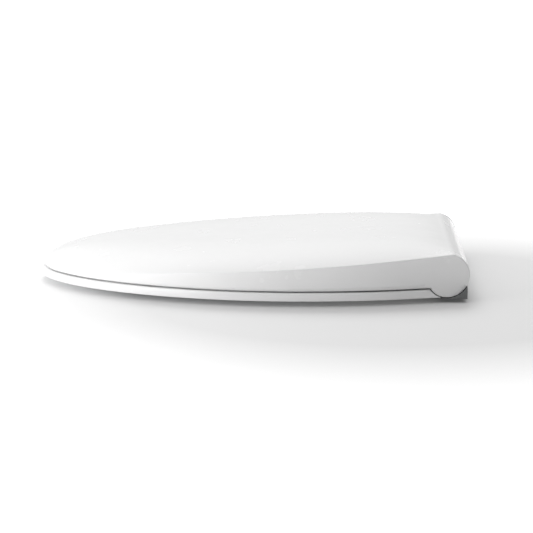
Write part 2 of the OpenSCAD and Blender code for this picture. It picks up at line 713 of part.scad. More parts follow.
motor_n = rack_pitch_n + pinion_pitch_r;
module nozzle_motor() {
  wash_frame() difference() {
    union() {
      translate([24, pinion_s, motor_n]) rotate([0, 90, 0]) cylinder(r = 12, h = 17);
      translate([22, pinion_s - 3, motor_n - 15.5]) cube([2.05, 6, 31]);
    }
    translate([21, pinion_s, motor_n]) rotate([0, 90, 0]) cylinder(r = 2.05, h = 10);
    for (n = [-13.5, 13.5]) translate([21, pinion_s, motor_n + n]) rotate([0, 90, 0]) cylinder(r = 1.2, h = 4, $fn = 24);
  }
}
module rear_nozzle_motor() color(steel) nozzle_motor();
module front_nozzle_motor() color(steel) mirror([1, 0, 0]) nozzle_motor();

// Pinion with a gap between two teeth facing the rack, on the motor's own shaft
module pinion() {
  wash_frame() translate([0, pinion_s, motor_n]) rotate([0, 90, 0]) {
    translate([0, 0, side - 2.5]) cylinder(r = 4.9, h = 5);
    translate([0, 0, side - 2.5]) cylinder(r = 2, h = 18);
    for (i = [0 : pinion_teeth - 1])
      rotate([0, 0, (i + 0.5) * 360 / pinion_teeth]) translate([0, 0, side - 2.5]) linear_extrude(5)
        polygon([[4.7, -0.95], [6.85, -0.36], [6.85, 0.36], [4.7, 0.95]]);
  }
}
module rear_pinion() color(natural) pinion();
module front_pinion() color(natural) mirror([1, 0, 0]) pinion();

// ---------------------------------------------------------------- warm air dryer

blower = [76, -34];
blower_low = 13;
module blower_housing() color(shade) translate([blower[0], blower[1], blower_low]) difference() {
  union() {
    cylinder(r = 21, h = 17);
    translate([-21, -26, 0]) cube([20, 26, 17]);
  }
  translate([0, 0, 2]) cylinder(r = 19, h = 13);
  translate([0, 0, 14]) cylinder(r = 9.5, h = 4);
  translate([-19, -27, 2]) cube([16, 28, 13]);
}
module blower_impeller() color(dark) translate([blower[0], blower[1], blower_low]) {
  difference() {
    union() {
      translate([0, 0, 3]) cylinder(r = 16, h = 1.4);
      translate([0, 0, 3]) cylinder(r = 4, h = 10);
      for (a = [0 : 15 : 345]) rotate([0, 0, a]) translate([12, -0.5, 4.3]) cube([3.8, 1, 8.6]);
    }
    translate([0, 0, 6]) cylinder(r = 1.55, h = 10);
  }
}
module blower_motor() color(steel) translate([blower[0], blower[1], blower_low]) {
  translate([0, 0, 17.05]) difference() {
    cylinder(r = 11, h = 9);
    for (a = [0 : 60 : 300]) rotate([0, 0, a]) translate([8, 0, 7]) cylinder(r = 1.4, h = 3, $fn = 24);
  }
  translate([0, 0, 7]) cylinder(r = 1.5, h = 10.1);
}

// Duct down and forward to the outlet, which opens into the bowl below the seat
duct_x0 = 57;
duct_x1 = 93;
module duct_profile(inset) {
  polygon([[-61 - inset, 28 - 2 * inset], [-61 - inset, 12 + 2 * inset], [-72, 2 + inset], [-94, -22 + 1.6 * inset],
    [-98, -22 + 1.6 * inset], [-98, -3 - inset], [-84, 8 - inset], [-72, 28 - 2 * inset]]);
}
module dryer_duct() color(shade) difference() {
  extrude_x(duct_x0, duct_x1) duct_profile(0);
  difference() {
    extrude_x(duct_x0 + 1.6, duct_x1 - 1.6) duct_profile(1);
    block([duct_x0, -80, 20], [duct_x1, -60, 30]);
  }
  block([duct_x0 + 1.6, -101, -19.5], [duct_x1 - 1.6, -94, -5]);
  block([duct_x0 + 2, -66, 14], [duct_x1 - 20, -60, 19]);
}
module dryer_heater() color(copper) {
  for (z = [10.5, 13.5, 16.5]) rod_x(0.8, duct_x0 + 3, duct_x1 - 3, -68.5, z);
  for (x = [duct_x0 + 3, duct_x1 - 5]) block([x, -69.7, 9.5], [x + 2, -67.3, 17.8]);
}
flap_y = -99.2;
flap_z = -3;
module dryer_flap() color(white) {
  rod_x(1.2, duct_x0 + 1, duct_x1 - 1, flap_y, flap_z);
  block([duct_x0 + 1, flap_y - 0.8, -21], [duct_x1 - 1, flap_y + 0.8, flap_z]);
  for (x = [duct_x0 + 8, duct_x1 - 9]) block([x, flap_y - 1.6, -19], [x + 1, flap_y, flap_z - 1.5]);
}

// ---------------------------------------------------------------- deodoriser

deo = [-73, -72];
module deodorizer_housing() color(shade) translate([deo[0], deo[1], 0]) {
  translate([0, 0, 16.5]) cylinder(r = 1.45, h = 7);
  deodorizer_scroll();
}
module deodorizer_scroll() difference() {
  union() {
    translate([-18, -24, -22]) cube([36, 40, 33]);
    translate([0, 0, 10.9]) cylinder(r = 17, h = 14);
  }
  translate([-16, -26, -20]) cube([32, 40, 16]);
  translate([0, 0, -5]) cylinder(r = 12, h = 17);
  translate([0, 0, 12]) cylinder(r = 15.2, h = 11);
  translate([-12, 10, 13]) cube([24, 10, 8]);
}
module deodorizer_fan() color(dark) translate([deo[0], deo[1], 13]) {
  difference() {
    union() {
      cylinder(r = 5, h = 8);
      for (a = [0 : 40 : 320]) rotate([0, 0, a]) translate([4.6, 0, 4]) rotate([32, 0, 0])
        translate([0, -3.6, -0.6]) cube([9.2, 7.2, 1.2]);
    }
    translate([0, 0, 3]) cylinder(r = 1.5, h = 6);
  }
}
// Cartridge that pulls out towards the front
module carbon_filter() color(dark) translate([deo[0], deo[1], 0]) {
  difference() {
    translate([-15.5, -24.3, -19.5]) cube([31, 36.8, 14.5]);
    for (x = [-12 : 4 : 12]) translate([x - 1.2, -20, -21]) cube([2.4, 29, 18]);
  }
  translate([-18, -26.2, -22]) cube([36, 2, 18.5]);
  translate([-7, -29.5, -15]) cube([14, 3.5, 3]);
}

// ---------------------------------------------------------------- electronics and controls

module control_board() color(green) {
  block([28, -6, 37], [90, 12, 38.6]);
  for (x = [36, 50, 64, 78]) block([x - 4, -2, 38.55], [x + 4, 7, 40.4]);
  for (x = [44, 72]) translate([x, 8.6, 38.55]) cylinder(r = 1.8, h = 3, $fn = 24);
}
module power_board() color(green) {
  block([100, -82, 14], [129, -20, 15.6]);
  block([103, -76, 15.55], [126, -52, 34]);
  for (y = [-44, -32]) translate([108, y, 15.55]) cylinder(r = 4.6, h = 15);
  block([116, -46, 15.55], [127, -24, 27]);
}
module receiver_window() color(dark)
  block([-13.9, base_front + 0.3, 29.1], [13.9, base_front + base_wall, 36.9]);

button_spot = [-108, -72];
module power_button() color(shade) translate([button_spot[0], button_spot[1], 0]) {
  translate([0, 0, 40.2]) cylinder(r = 7, h = 5.1);
  translate([0, 0, 38.6]) cylinder(r = 8.5, h = 1.65);
}
// Pushed inwards to free the base from its mounting plate
module release_button() color(shade) {
  rod_x(3, -base_half - 3.3, -base_half + 9, release_yz[0], release_yz[1]);
  rod_x(4.6, -base_half - 6, -base_half - 3.2, release_yz[0], release_yz[1]);
}

// ---------------------------------------------------------------- mounting

plate_half = 100;
module mounting_plate() color(dark) difference() {
  union() {
    rounded_block([-plate_half, -32, 0], [plate_half, tray_rear - 0.6, 3], 5);
    for (x = [-42, 42]) rounded_block([x - 9, -30, 2.95], [x + 9, -20, 6.5], 2);
  }
  at_studs() {
    translate([0, 0, -1]) cylinder(r = 3.2, h = 6);
    translate([0, 0, -1]) cylinder(r = bush_r + 0.3, h = 2);
  }
  block([-24, -34, -1], [24, -24, 4]);
}
module at_studs() {
  for (x = [-stud_spacing / 2, stud_spacing / 2]) translate([x, 0, 0]) children();
}
module mounting_bolts() color(steel) at_studs() {
  translate([0, 0, -45]) cylinder(r = 3, h = 49.05);
  difference() {
    translate([0, 0, 4]) cylinder(r = 5.2, h = 4.5);
    translate([0, 0, 6]) cylinder(r = 3, h = 4, $fn = 6);
  }
}
module mounting_washers() color(steel) at_studs() difference() {
  translate([0, 0, 3]) cylinder(r = 7, h = 1);
  translate([0, 0, 2]) cylinder(r = 3.2, h = 3);
}
// Each bush ends in a short collar that sits in a recess under the plate
module expansion_bushes() color(rubber) at_studs() difference() {
  union() {
    translate([0, 0, -34]) cylinder(r = bush_r, h = 34);
    translate([0, 0, -eps]) cylinder(r = bush_r - 0.2, h = 0.9);
  }
  translate([0, 0, -36]) cylinder(r = 3.2, h = 40);
  translate([0, 0, -34 - eps]) cylinder(r1 = 4.6, r2 = 3.1, h = 4);
}
module cone_nuts() color(brass) at_studs() difference() {
  union() {
    translate([0, 0, -44]) cylinder(r = bush_r - 0.2, h = 4);
    translate([0, 0, -40 - eps]) cylinder(r1 = bush_r - 0.2, r2 = 4.4, h = 5.9);
  }
  translate([0, 0, -46]) cylinder(r = 3, h = 14);
}

lid_shell();
lid_end_disc_left();
lid_end_disc_right();
lid_bumpers();
lid_damper_sleeve();
seat_top_shell();
seat_bottom_plate();
seat_heater();
seat_arm_left();
seat_arm_right();
seat_bumpers();
seat_damper_shaft();
base_lower_casing();
base_upper_cover();
hinge_cradle();
inlet_housing();
casing_screws();
hinge_tube();
lid_damper();
seat_damper();
water_inlet();
inlet_strainer();
supply_pipe();
cord_gland();
power_cable();
solenoid_valve();
water_heater();
diverter_body();
diverter_rotor();
diverter_motor();
nozzle_guide();
rear_nozzle();
front_nozzle();
rear_nozzle_tip();
front_nozzle_tip();
rear_nozzle_motor();
front_nozzle_motor();
rear_pinion();
front_pinion();
blower_housing();
blower_impeller();
blower_motor();
dryer_duct();
dryer_heater();
dryer_flap();
deodorizer_housing();
deodorizer_fan();
carbon_filter();
control_board();
power_board();
receiver_window();
power_button();
release_button();
mounting_plate();
mounting_bolts();
mounting_washers();
expansion_bushes();
cone_nuts();
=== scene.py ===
"""Electric bidet seat: the looks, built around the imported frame. Metres, frame axes: +Z up, front at -Y."""
import json
import math

import bmesh
import bpy
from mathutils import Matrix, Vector


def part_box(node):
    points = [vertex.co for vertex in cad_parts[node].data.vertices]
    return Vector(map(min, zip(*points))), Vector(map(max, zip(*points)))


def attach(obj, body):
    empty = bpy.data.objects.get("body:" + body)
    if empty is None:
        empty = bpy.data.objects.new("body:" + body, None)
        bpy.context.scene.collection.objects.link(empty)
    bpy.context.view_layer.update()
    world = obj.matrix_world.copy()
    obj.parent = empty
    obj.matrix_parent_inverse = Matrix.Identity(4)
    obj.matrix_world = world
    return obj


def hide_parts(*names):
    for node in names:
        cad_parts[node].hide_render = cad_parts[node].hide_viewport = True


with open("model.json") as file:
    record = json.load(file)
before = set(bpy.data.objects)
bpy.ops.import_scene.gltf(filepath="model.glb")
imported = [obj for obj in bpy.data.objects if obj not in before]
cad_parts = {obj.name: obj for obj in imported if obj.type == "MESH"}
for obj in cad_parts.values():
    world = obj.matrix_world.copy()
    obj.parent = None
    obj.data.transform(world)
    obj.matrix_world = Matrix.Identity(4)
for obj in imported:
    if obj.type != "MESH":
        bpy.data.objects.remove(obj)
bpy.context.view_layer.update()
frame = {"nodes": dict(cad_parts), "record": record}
NODES = frame["nodes"]
SCENE = bpy.context.scene
MM = 0.001

# ------------------------------------------------------------------ sizes, read from the frame

LID_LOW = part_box("lid_shell")[0]
DISC_LOW, DISC_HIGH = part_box("lid_end_disc_left")
RING_LOW, RING_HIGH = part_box("seat_top_shell")

BARREL_HALF = DISC_HIGH.x
BARREL_R = (DISC_HIGH.z - DISC_LOW.z) / 2
HINGE = Vector((0, (DISC_LOW.y + DISC_HIGH.y) / 2, (DISC_LOW.z + DISC_HIGH.z) / 2))
SHAFT_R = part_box("seat_damper_shaft")[1].y - HINGE.y
SLEEVE_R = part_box("lid_damper_sleeve")[1].y - HINGE.y
RUNNING = 0.05 * MM
WIDE_HALF = RING_HIGH.x
TIP_Y = LID_LOW.y
SEAT_TIP_Y = RING_LOW.y
LID_EDGE_Z = LID_LOW.z


def clamp(v):
    return min(1.0, max(0.0, v))


# ------------------------------------------------------------------ the plan outline and the lid's heights

WIDE_Y = -165 * MM
BARREL_START_Y = HINGE.y - 10 * MM
NOSE_POWER = 1.83
SIDE_POWER = 2.3
TAPER_Y = -33 * MM
TAPER = 0.267


def half_width(y, tip=TIP_Y):
    """Half of the outline's width: a soft superellipse before the widest place, a slow taper behind it."""
    if y < WIDE_Y:
        t = clamp((WIDE_Y - y) / (WIDE_Y - tip))
        return WIDE_HALF * max(0.0, 1 - t**NOSE_POWER) ** (1 / NOSE_POWER)
    t = clamp((y - WIDE_Y) / (BARREL_START_Y - WIDE_Y))
    return WIDE_HALF - (WIDE_HALF - BARREL_HALF) * t**SIDE_POWER


def side_half(y):
    """Half of the lid's and the arms' width. Past the taper's start the sides run straight to the barrel."""
    if y < TAPER_Y:
        return half_width(y)
    return half_width(TAPER_Y) - TAPER * (y - TAPER_Y)


CREASE_DROP = 0.7 * MM
CREASE_SLOPE = 0.0655
CREASE_DIP_Y = -280 * MM
CREASE_DIP_POWER = 1.6
CROWN_Z = 60.9 * MM
CROWN_Y = -60 * MM
CREST_SLOPE = 0.0464
CREST_BEND_Y = -95 * MM
CREST_BEND = 40 * MM
CREST_DIP_Y = -330 * MM
CREST_DIP_POWER = 3
CREST_DIP_ROOT = 0.385
REAR_DROP_POWER = 3.5
NOSE_START_Y = -200 * MM
TANGENT = math.radians(15.5)
TANGENT_Y = HINGE.y + BARREL_R * math.sin(TANGENT)
TANGENT_Z = HINGE.z + BARREL_R * math.cos(TANGENT)


def toward_tip(y, start):
    """From 0 at the start to 1 at the lid's tip."""
    return clamp((start - y) / (start - TIP_Y))


def crease_z(y):
    """Height of the crease between the lid's side and its top."""
    line = HINGE.z + BARREL_R - CREASE_DROP - CREASE_SLOPE * (HINGE.y - y)
    fade = 1 - toward_tip(y, CREASE_DIP_Y) ** CREASE_DIP_POWER
    return LID_EDGE_Z + (line - LID_EDGE_Z) * fade


def front_crest(y):
    """Height of the centre line before the crown: a bend into a straight slope, then down round the nose."""
    ahead = CREST_BEND_Y - y
    line = CROWN_Z - CREST_SLOPE * (ahead + math.hypot(ahead, CREST_BEND)) / 2
    dip = max(0.0, 1 - toward_tip(y, CREST_DIP_Y) ** CREST_DIP_POWER) ** CREST_DIP_ROOT
    return LID_EDGE_Z + (line - LID_EDGE_Z) * dip


def crest_z(y):
    """Height of the lid's centre line: down to the nose in front, down onto the barrel behind."""
    if y < CROWN_Y:
        return front_crest(y)
    top = front_crest(CROWN_Y)
    return top - (top - TANGENT_Z) * clamp((y - CROWN_Y) / (TANGENT_Y - CROWN_Y)) ** REAR_DROP_POWER


def crown_share(s, y):
    """How much crown is left at the share s of the half width: round at the nose, flat-topped behind."""
    nose = toward_tip(y, NOSE_START_Y)
    return max(0.0, 1 - s ** (6 - 3.2 * nose)) ** (1 - 0.45 * nose)


# ------------------------------------------------------------------ camera, light and floor


CAMERA_TARGET = Vector((0, -0.1968, 0.0097))
CAMERA_AZIMUTH = math.radians(-1.11)
CAMERA_ELEVATION = math.radians(10.5)
CAMERA_DISTANCE = 3.0
CAMERA_LENS = 161.1
SENSOR_WIDTH = 36

AMBIENT = 0.02
FAR_SIDE_GLOW = 0.83
GLOW_FROM = (-0.35, -0.25, 0.9)
GLOW_EDGES = (0.1, 0.6)
KEY_POWER = 42
KEY_PLACE = (-2.0, -0.3, 2.2)
KEY_SIZE = (1.6, 1.6)
FRONT_POWER = 2.4
FRONT_PLACE = (0.52, -0.76, 0.09)
FRONT_SIZE = (0.5, 0.4)
MIDDLE = (0, -0.2, 0.03)
NEAR_SIDE = (0.16, -0.3, 0.03)

FLOOR_HALF = 14.0
FLOOR_LEVEL = -4.5 * MM


def aim_at(thing, target):
    thing.rotation_euler = (Vector(target) - thing.location).to_track_quat("-Z", "Y").to_euler()


def add_camera():
    data = bpy.data.cameras.new("camera")
    camera = bpy.data.objects.new("camera", data)
    SCENE.collection.objects.link(camera)
    flat = math.cos(CAMERA_ELEVATION)
    x, y = math.cos(CAMERA_AZIMUTH) * flat, -math.sin(CAMERA_AZIMUTH) * flat
    away = Vector((x, y, math.sin(CAMERA_ELEVATION)))
    camera.location = CAMERA_TARGET + CAMERA_DISTANCE * away
    aim_at(camera, CAMERA_TARGET)
    data.sensor_width = SENSOR_WIDTH
    data.lens = CAMERA_LENS
    data.clip_end = 60
    SCENE.camera = camera


def add_area(name, place, target, size, power):
    data = bpy.data.lights.new(name, "AREA")
    data.shape = "RECTANGLE"
    data.size, data.size_y = size
    data.energy = power
    light = bpy.data.objects.new(name, data)
    light.location = place
    aim_at(light, target)
    SCENE.collection.objects.link(light)
    return light


def add_world():
    """A white room for the camera. The object is lit by it mostly from above and from the far side."""
    world = bpy.data.worlds.new("studio")
    world.use_nodes = True
    tree = world.node_tree
    background = tree.nodes["Background"]
    background.inputs["Color"].default_value = (1, 1, 1, 1)
    path = tree.nodes.new("ShaderNodeLightPath")
    place = tree.nodes.new("ShaderNodeTexCoord")
    aim = tree.nodes.new("ShaderNodeVectorMath")
    aim.operation = "DOT_PRODUCT"
    aim.inputs[1].default_value = Vector(GLOW_FROM).normalized()
    glow = tree.nodes.new("ShaderNodeMapRange")
    glow.interpolation_type = "SMOOTHSTEP"
    glow.inputs["From Min"].default_value, glow.inputs["From Max"].default_value = GLOW_EDGES
    glow.inputs["To Min"].default_value = AMBIENT
    glow.inputs["To Max"].default_value = FAR_SIDE_GLOW
    seen = tree.nodes.new("ShaderNodeMix")
    seen.inputs["B"].default_value = 1.0
    tree.links.new(place.outputs["Generated"], aim.inputs[0])
    tree.links.new(aim.outputs["Value"], glow.inputs["Value"])
    tree.links.new(path.outputs["Is Camera Ray"], seen.inputs["Factor"])
    tree.links.new(glow.outputs["Result"], seen.inputs["A"])
    tree.links.new(seen.outputs["Result"], background.inputs["Strength"])
    SCENE.world = world


def add_lights():
    """A broad key from above the far side, and a near fill ahead of the nose that falls off to the rear."""
    key = add_area("key", KEY_PLACE, MIDDLE, KEY_SIZE, KEY_POWER)
    key.visible_glossy = False
    add_area("front", FRONT_PLACE, NEAR_SIDE, FRONT_SIZE, FRONT_POWER)


def add_floor():
    """The floor stands for the bowl's rim: studs go through it, and the seat's pads have room to sink in."""
    mesh = bpy.data.meshes.new("studio_floor")
    corners = [(-1, -1), (1, -1), (1, 1), (-1, 1)]
    mesh.from_pydata([(x * FLOOR_HALF, y * FLOOR_HALF, FLOOR_LEVEL) for x, y in corners], [], [(0, 1, 2, 3)])
    floor = bpy.data.objects.new("studio_floor", mesh)
    SCENE.collection.objects.link(floor)
    floor.data.materials.append(floor_material())


# ------------------------------------------------------------------ materials


def new_material(name, color, roughness, metallic=0.0, **sockets):
    material = bpy.data.materials.new(name)
    material.use_nodes = True
    shader = material.node_tree.nodes["Principled BSDF"]
    shader.inputs["Base Color"].default_value = (*color, 1)
    shader.inputs["Roughness"].default_value = roughness
    shader.inputs["Metallic"].default_value = metallic
    for key, value in sockets.items():
        shader.inputs[key.replace("_", " ")].default_value = value
    return material


class Nodes:
    """Short helper for adding and joining shader nodes."""

    def __init__(self, material):
        self.tree = material.node_tree
        self.shader = self.tree.nodes["Principled BSDF"]
        self.place = self.add("ShaderNodeTexCoord").outputs["Object"]

    def add(self, kind, **settings):
        node = self.tree.nodes.new(kind)
        for key, value in settings.items():
            setattr(node, key, value)
        return node

    def link(self, a, b):
        self.tree.links.new(a, b)

    def noise(self, scale, detail=2.0, stretch=(1, 1, 1)):
        mapping = self.add("ShaderNodeMapping")
        mapping.inputs["Scale"].default_value = stretch
        self.link(self.place, mapping.inputs["Vector"])
        node = self.add("ShaderNodeTexNoise")
        node.inputs["Scale"].default_value = scale
        node.inputs["Detail"].default_value = detail
        self.link(mapping.outputs["Vector"], node.inputs["Vector"])
        return node.outputs["Fac"]

    def ramp(self, source, low, high, start=0.35, end=0.65):
        node = self.add("ShaderNodeMapRange")
        node.inputs["From Min"].default_value = start
        node.inputs["From Max"].default_value = end
        node.inputs["To Min"].default_value = low
        node.inputs["To Max"].default_value = high
        self.link(source, node.inputs["Value"])
        return node.outputs["Result"]

    def tint(self, source, a, b, start=0.3, end=0.7):
        node = self.add("ShaderNodeMix", data_type="RGBA")
        node.inputs["A"].default_value = (*a, 1)
        node.inputs["B"].default_value = (*b, 1)
        self.link(self.ramp(source, 0, 1, start, end), node.inputs["Factor"])
        self.link(node.outputs["Result"], self.shader.inputs["Base Color"])

    def rough(self, source, low, high):
        self.link(self.ramp(source, low, high), self.shader.inputs["Roughness"])

    def bump(self, source, strength, distance):
        node = self.add("ShaderNodeBump")
        node.inputs["Strength"].default_value = strength
        node.inputs["Distance"].default_value = distance
        self.link(source, node.inputs["Height"])
        self.link(node.outputs["Normal"], self.shader.inputs["Normal"])


def scaled(color, k):
    return tuple(min(1.0, c * k) for c in color)


def neutral(color):
    """The grey of the same brightness."""
    return (sum(color) / 3,) * 3


def plastic(name, color, roughness, grain=900.0, depth=0.02 * MM, spread=0.06, **sockets):
    """Moulded plastic: spark grain in the bump, slow drift in colour and gloss."""
    material = new_material(name, color, roughness, **sockets)
    n = Nodes(material)
    n.tint(n.noise(9.0, 4.0), scaled(color, 0.975), scaled(color, 1.015))
    n.rough(n.noise(55.0, 5.0), roughness - spread / 2, roughness + spread / 2)
    n.bump(n.noise(grain, 3.0), 0.35, depth)
    return material


def gloss_white(name, color):
    """Polished urea: almost flat, with a long soft orange peel and faint rub marks in the gloss."""
    material = new_material(name, color, 0.26, Coat_Weight=0.2, Coat_Roughness=0.12, IOR=1.46)
    n = Nodes(material)
    n.tint(n.noise(4.0, 3.0), scaled(color, 0.99), scaled(color, 1.005))
    n.rough(n.noise(24.0, 5.0), 0.245, 0.275)
    n.bump(n.noise(260.0, 2.0), 0.25, 0.012 * MM)
    return material


def brushed(name, color, roughness):
    """Turned or drawn metal: fine lines along X in the gloss and the bump."""
    material = new_material(name, color, roughness, 1.0, Anisotropic=0.5)
    n = Nodes(material)
    lines = n.noise(70.0, 6.0, (1, 40, 40))
    n.tint(n.noise(30.0, 3.0), scaled(color, 0.9), scaled(color, 1.05))
    n.rough(lines, roughness - 0.08, roughness + 0.12)
    n.bump(lines, 0.3, 0.01 * MM)
    return material


def rubber(name, color):
    """Matt rubber with a dusty drift in its colour."""
    material = new_material(name, color, 0.75, Specular_IOR_Level=0.3)
    n = Nodes(material)
    n.tint(n.noise(60.0, 5.0), scaled(color, 0.85), scaled(color, 1.12))
    n.rough(n.noise(120.0, 4.0), 0.68, 0.86)
    n.bump(n.noise(1600.0, 3.0), 0.5, 0.03 * MM)
    return material


def board(name, color):
    """Solder-masked circuit board with copper tracks under the lacquer."""
    material = new_material(name, color, 0.35, Coat_Weight=0.5)
    n = Nodes(material)
    bricks = n.add("ShaderNodeTexBrick")
    bricks.inputs["Scale"].default_value = 260.0
    bricks.inputs["Mortar Size"].default_value = 0.03
    bricks.inputs["Color1"].default_value = (*color, 1)
    bricks.inputs["Color2"].default_value = (*scaled(color, 0.8), 1)
    bricks.inputs["Mortar"].default_value = (*scaled(color, 1.7), 1)
    n.link(n.place, bricks.inputs["Vector"])
    n.link(bricks.outputs["Color"], n.shader.inputs["Base Color"])
    n.rough(n.noise(90.0, 4.0), 0.28, 0.42)
    n.bump(bricks.outputs["Fac"], 0.3, 0.02 * MM)
    return material


def foil(name, color):
    """Etched heating foil: a winding track between thin gaps."""
    material = new_material(name, color, 0.35, 0.9)
    n = Nodes(material)
    wave = n.add("ShaderNodeTexWave", wave_type="BANDS", bands_direction="DIAGONAL")
    wave.inputs["Scale"].default_value = 60.0
    wave.inputs["Distortion"].default_value = 1.2
    n.link(n.place, wave.inputs["Vector"])
    n.tint(wave.outputs["Fac"], scaled(color, 0.55), color, 0.1, 0.3)
    n.rough(n.noise(80.0, 4.0), 0.28, 0.5)
    n.bump(wave.outputs["Fac"], 0.4, 0.03 * MM)
    return material


def floor_material():
    """Pale matt floor: the object's shadow falls on it, and a painted shade pool lies round the object, as
    the floor glows little near it and brighter further off.
    """
    material = new_material("studio_floor", (0.74, 0.74, 0.74), 0.7, Specular_IOR_Level=0.1)
    n = Nodes(material)
    n.rough(n.noise(3.0, 4.0), 0.65, 0.75)
    far = n.add("ShaderNodeVectorMath", operation="DISTANCE")
    far.inputs[1].default_value = (0.1, -0.05, 0)
    n.link(n.place, far.inputs[0])
    # painted shade: the floor's glow is weakest near the object and grows with the distance from it
    n.link(n.ramp(far.outputs["Value"], 0.05, 0.7, 0.3, 0.75), n.shader.inputs["Emission Strength"])
    n.shader.inputs["Emission Color"].default_value = (1, 1, 1, 1)
    return material


COLOR = {m["slot"]: tuple(m["base_color"][:3]) for m in frame["record"]["materials"]}
COLOR.update({slot: neutral(COLOR[slot]) for slot in ("white_gloss", "white_casing")})
WAXY = {"Subsurface_Weight": 0.15, "Subsurface_Radius": (0.002, 0.0018, 0.0014)}
RECIPES = {
    "white_gloss": (gloss_white, (), {}),
    "white_casing": (plastic, (0.38, 700.0), {}),
    "grey_plastic": (plastic, (0.5,), {}),
    "dark_plastic": (plastic, (0.48, 800.0, 0.04 * MM, 0.12), {}),
    "natural_plastic": (plastic, (0.4, 600.0), WAXY),
    "fan_plastic": (plastic, (0.45,), {}),
    "bumper_rubber": (rubber, (), {}),
    "dark_rubber": (rubber, (), {}),
    "steel": (brushed, (0.34,), {}),
    "brass": (brushed, (0.3,), {}),
    "heater_foil": (foil, (), {}),
    "circuit_board": (board, (), {}),
    "smoked_window": (plastic, (0.08, 300.0, 0.004 * MM, 0.04), {"Coat_Weight": 1.0}),
}
MATERIAL = {slot: make(slot, COLOR[slot], *values, **sockets)
            for slot, (make, values, sockets) in RECIPES.items()}
SLOT = {s["node"]: s["material_slot"] for s in frame["record"]["subparts"]}
BODY = {node: body for body, members in frame["record"]["behaviour"]["bodies"].items() for node in members}

# ------------------------------------------------------------------ mesh helpers

WELD = 0.004 * MM
CAD_WELD = 0.002 * MM
FLAT = math.radians(2)
EDGE_ANGLE = 35


def mesh_object(name, verts, faces, slot, body, smooth):
    """A new piece: welds its points, points its faces outwards and shades it smooth up to an angle."""
    mesh = bpy.data.meshes.new(name)
    mesh.from_pydata([tuple(v) for v in verts], [], faces)
    bm = bmesh.new()
    bm.from_mesh(mesh)
    bmesh.ops.remove_doubles(bm, verts=bm.verts, dist=WELD)
    bmesh.ops.dissolve_degenerate(bm, edges=bm.edges, dist=WELD)
    bmesh.ops.recalc_face_normals(bm, faces=bm.faces)
    bm.to_mesh(mesh)
    bm.free()
    return finish_object(name, mesh, slot, body, smooth)


def finish_object(name, mesh, slot, body, smooth):
    """The mesh as an object with its material, riding on its body."""
    piece = bpy.data.objects.new(name, mesh)
    SCENE.collection.objects.link(piece)
    mesh.materials.clear()
    mesh.materials.append(MATERIAL[slot])
    for polygon in mesh.polygons:
        polygon.use_smooth = True
    mesh.set_sharp_from_angle(angle=math.radians(smooth))
    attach(piece, body)
    return piece


def grid_faces(rows, cols, start):
    """Quads of a grid of points that is laid out row by row."""
    corners = [start + i * cols + j for i in range(rows - 1) for j in range(cols - 1)]
    return [(k, k + 1, k + cols + 1, k + cols) for k in corners]


def ring_faces(a, b, around):
    """Quads between two closed rings of points that start at a and b."""
    return [(a + k, a + (k + 1) % around, b + (k + 1) % around, b + k) for k in range(around)]


def bezier(a, b, c, count):
    """Points of a curve from a to c that bends towards b. They have as many coordinates as a."""
    shares = [k / count for k in range(count + 1)]
    return [tuple(p * (1 - t) ** 2 + q * 2 * t * (1 - t) + r * t * t for p, q, r in zip(a, b, c))
            for t in shares]


def soften(node, width):
    """A copy of a CAD node with its sharp edges rounded, which stands for that node."""
    mesh = NODES[node].data.copy()
    if "custom_normal" in mesh.attributes:
        mesh.attributes.remove(mesh.attributes["custom_normal"])
    bm = bmesh.new()
    bm.from_mesh(mesh)
    bmesh.ops.remove_doubles(bm, verts=bm.verts, dist=CAD_WELD)
    bmesh.ops.dissolve_limit(bm, angle_limit=FLAT, verts=bm.verts, edges=bm.edges)
    bm.to_mesh(mesh)
    bm.free()
    piece = finish_object(node + "_finished", mesh, SLOT[node], BODY[node], EDGE_ANGLE)
    bevel = piece.modifiers.new("edges", "BEVEL")
    bevel.width = width
    bevel.segments = 3
    bevel.limit_method = "ANGLE"
    bevel.angle_limit = math.radians(EDGE_ANGLE)
    bevel.harden_normals = True
    bevel.use_clamp_overlap = True
    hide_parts(node)


# ------------------------------------------------------------------ the lid: one seamless moulding

LID_WALL = 2.6 * MM
SIDE_STEPS = 6
FILLET_STEPS = 6
ACROSS = 30
NOSE_ROWS = 64
MIDDLE_ROWS = 26
REAR_ROWS = 8
BARREL_ROWS = 16
EDGE_ROWS = 26
CREASE_R_LEAST = 0.05 * MM
CREASE_R_ADDED = 2.2 * MM
CREASE_FADE = 0.45
JOIN_Y = -8 * MM
SKIN_END = math.radians(95)
EDGE_END = math.radians(234)
ROUND_EDGE = 1.6 * MM
EDGE_STOPS = (0, 1.5 * MM, 3 * MM, 7 * MM)
DISC_INNER_X = 148.6 * MM
STAR_SHARES = (1.0, 0.85, 0.65, 0.45, 0.25, 0.08)
HOOK_CORNER = (HINGE.y - 22.3 * MM, LID_EDGE_Z)
HOOK_END = (JOIN_Y + 5 * MM, LID_EDGE_Z)
HOOK_STEPS = 5
TINY = 1e-9


def quarter(i, count):
    """The angle i steps into a quarter turn of count steps."""
    return math.radians(90) * i / count


def crease_radius(y):
    """Radius of the rounding along the crease. It fades out where the nose turns into one round surface."""
    fade = clamp(1 - toward_tip(y, NOSE_START_Y) / CREASE_FADE)
    wide = CREASE_R_LEAST + CREASE_R_ADDED * fade
    return min(wide, 0.6 * (crease_z(y) - LID_EDGE_Z), 0.3 * half_width(y))


